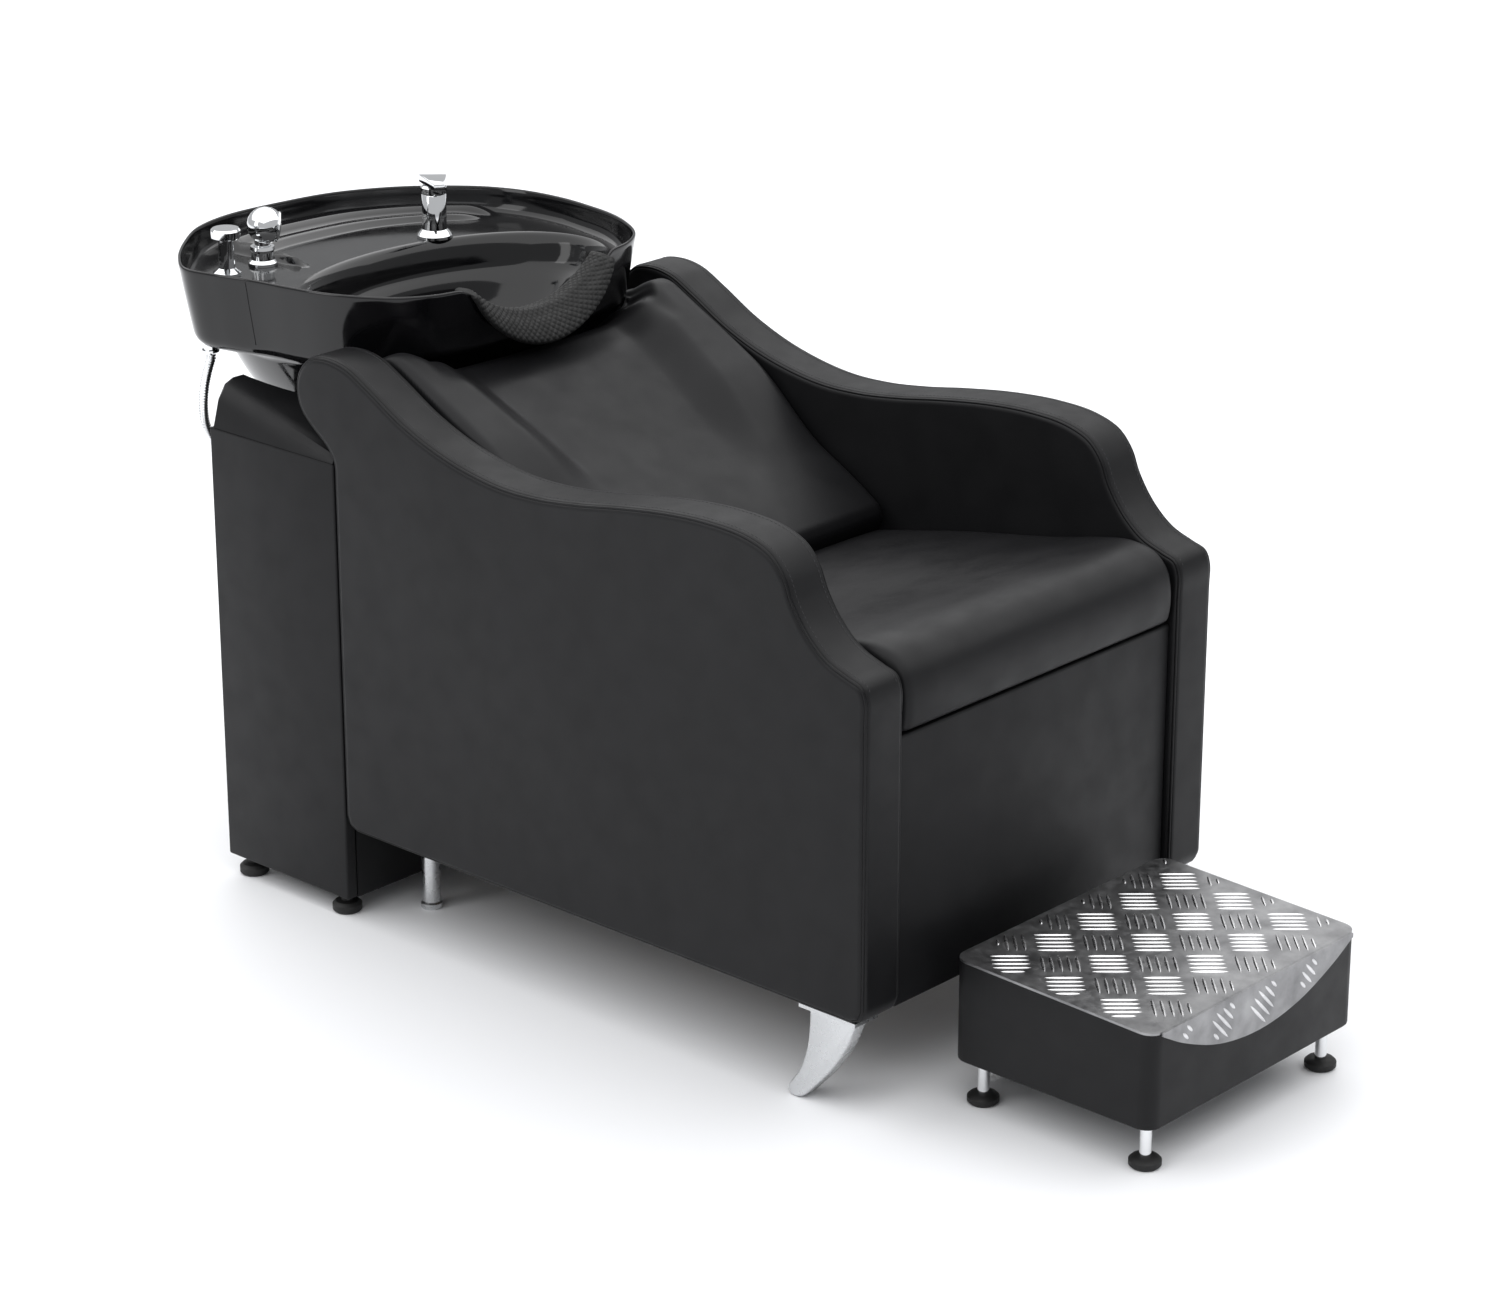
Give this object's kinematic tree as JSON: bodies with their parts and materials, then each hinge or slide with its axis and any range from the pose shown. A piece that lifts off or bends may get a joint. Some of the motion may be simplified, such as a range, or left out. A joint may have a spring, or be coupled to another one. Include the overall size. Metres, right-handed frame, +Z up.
{
  "type": "shampoo backwash unit",
  "caption": "Salon shampoo backwash unit: upholstered chair joined to a plumbing cabinet with a tilting basin, taps, hand shower and a separate footrest.",
  "frame": {"origin": "floor level, centre of the unit's length and width", "axes": "+Z up, -Y the way the sitter faces, +X the sitter's left"},
  "size_m": [0.67, 1.7204, 0.8915],
  "materials": {
    "upholstery": "black smooth leatherette, satin",
    "laminate": "black leatherette on board, satin",
    "bowl_black": "black, high gloss",
    "rubber_black": "black, matte, textured",
    "chrome": "polished",
    "satin_chrome": "satin",
    "tread_aluminium": "five-bar tread pattern, bright",
    "frame_steel": "dark grey paint",
    "plywood": "plain plywood",
    "plastic_black": "black, matte",
    "waste_plastic": "grey"
  },
  "bodies": {
    "chair_and_cabinet": {"arm_panel_right": "upholstery", "arm_panel_left": "upholstery", "seat_cushion": "upholstery", "back_cushion": "upholstery", "front_apron": "upholstery", "seat_board": "plywood", "back_board": "plywood", "side_rail_right": "frame_steel", "side_rail_left": "frame_steel", "front_cross_rail": "frame_steel", "rear_cross_rail": "frame_steel", "basin_beam": "frame_steel", "pivot_upright_right": "frame_steel", "pivot_upright_left": "frame_steel", "leg_plate_right": "satin_chrome", "leg_plate_left": "satin_chrome", "sabre_leg_right": "satin_chrome", "sabre_leg_left": "satin_chrome", "rear_leg_right": "satin_chrome", "rear_leg_left": "satin_chrome", "tilt_pin": "satin_chrome", "cabinet_side_right": "laminate", "cabinet_side_left": "laminate", "cabinet_front": "laminate", "cabinet_base": "laminate", "rear_access_panel": "laminate", "cabinet_cover": "laminate", "hose_gland": "plastic_black", "cabinet_foot_front_right": "plastic_black", "cabinet_foot_front_left": "plastic_black", "cabinet_foot_rear_right": "plastic_black", "cabinet_foot_rear_left": "plastic_black", "waste_pipe": "waste_plastic", "shower_hose": "chrome"},
    "basin": {"basin_bowl": "bowl_black", "neck_rest": "rubber_black", "drain_flange": "chrome", "basin_hanger": "frame_steel", "mixer_body": "chrome", "valve_stem": "chrome", "shower_holder": "chrome", "hose_collar": "chrome"},
    "mixer_turner": {"mixer_cap": "chrome"},
    "mixer_handle": {"mixer_lever": "chrome"},
    "valve_control": {"valve_knob": "chrome"},
    "hand_shower": {"shower_head": "chrome", "spray_face": "chrome"},
    "strainer": {"drain_strainer": "chrome"},
    "footrest": {"footrest_body": "upholstery", "tread_plate": "tread_aluminium"},
    "footrest_foot_front_right": {"level_stem_front_right": "chrome", "level_pad_front_right": "plastic_black"},
    "footrest_foot_front_left": {"level_stem_front_left": "chrome", "level_pad_front_left": "plastic_black"},
    "footrest_foot_rear_right": {"level_stem_rear_right": "chrome", "level_pad_rear_right": "plastic_black"},
    "footrest_foot_rear_left": {"level_stem_rear_left": "chrome", "level_pad_rear_left": "plastic_black"}
  },
  "joints": [
    {"name": "basin_tilt", "type": "hinge", "parent": "chair_and_cabinet", "child": "basin", "pos_m": [0, 0.587, 0.598], "axis": [-1, 0, 0], "range_deg": [0, 5], "deforming": ["shower_hose"]},
    {"name": "mixer_turn", "type": "hinge", "parent": "basin", "child": "mixer_turner", "pos_m": [0.11, 0.655, 0.874], "axis": [0, 0, 1], "range_deg": [-45, 45]},
    {"name": "mixer_lift", "type": "hinge", "parent": "mixer_turner", "child": "mixer_handle", "pos_m": [0.1226, 0.6665, 0.8803], "axis": [-0.6743, 0.7385, 0], "range_deg": [0, 22]},
    {"name": "valve_turn", "type": "hinge", "parent": "basin", "child": "valve_control", "pos_m": [-0.214, 0.717, 0.864], "axis": [0, 0, 1], "range_deg": [0, 90]},
    {"name": "shower_lift", "type": "slide", "parent": "basin", "child": "hand_shower", "axis": [0, 0, 1], "range_m": [0, 0.07]},
    {"name": "strainer_lift", "type": "slide", "parent": "basin", "child": "strainer", "axis": [0, 0, 1], "range_m": [0, 0.05]},
    {"name": "footrest_slide", "type": "slide", "parent": "chair_and_cabinet", "child": "footrest", "axis": [0, -1, 0], "range_m": [-0.02, 0.3]},
    {"name": "footrest_foot_front_right_turn", "type": "hinge", "parent": "footrest", "child": "footrest_foot_front_right", "pos_m": [-0.178, -0.83, 0.03], "axis": [0, 0, 1], "continuous": true},
    {"name": "footrest_foot_front_left_turn", "type": "hinge", "parent": "footrest", "child": "footrest_foot_front_left", "pos_m": [0.178, -0.83, 0.03], "axis": [0, 0, 1], "continuous": true},
    {"name": "footrest_foot_rear_right_turn", "type": "hinge", "parent": "footrest", "child": "footrest_foot_rear_right", "pos_m": [-0.178, -0.583, 0.03], "axis": [0, 0, 1], "continuous": true},
    {"name": "footrest_foot_rear_left_turn", "type": "hinge", "parent": "footrest", "child": "footrest_foot_rear_left", "pos_m": [0.178, -0.583, 0.03], "axis": [0, 0, 1], "continuous": true}
  ]
}
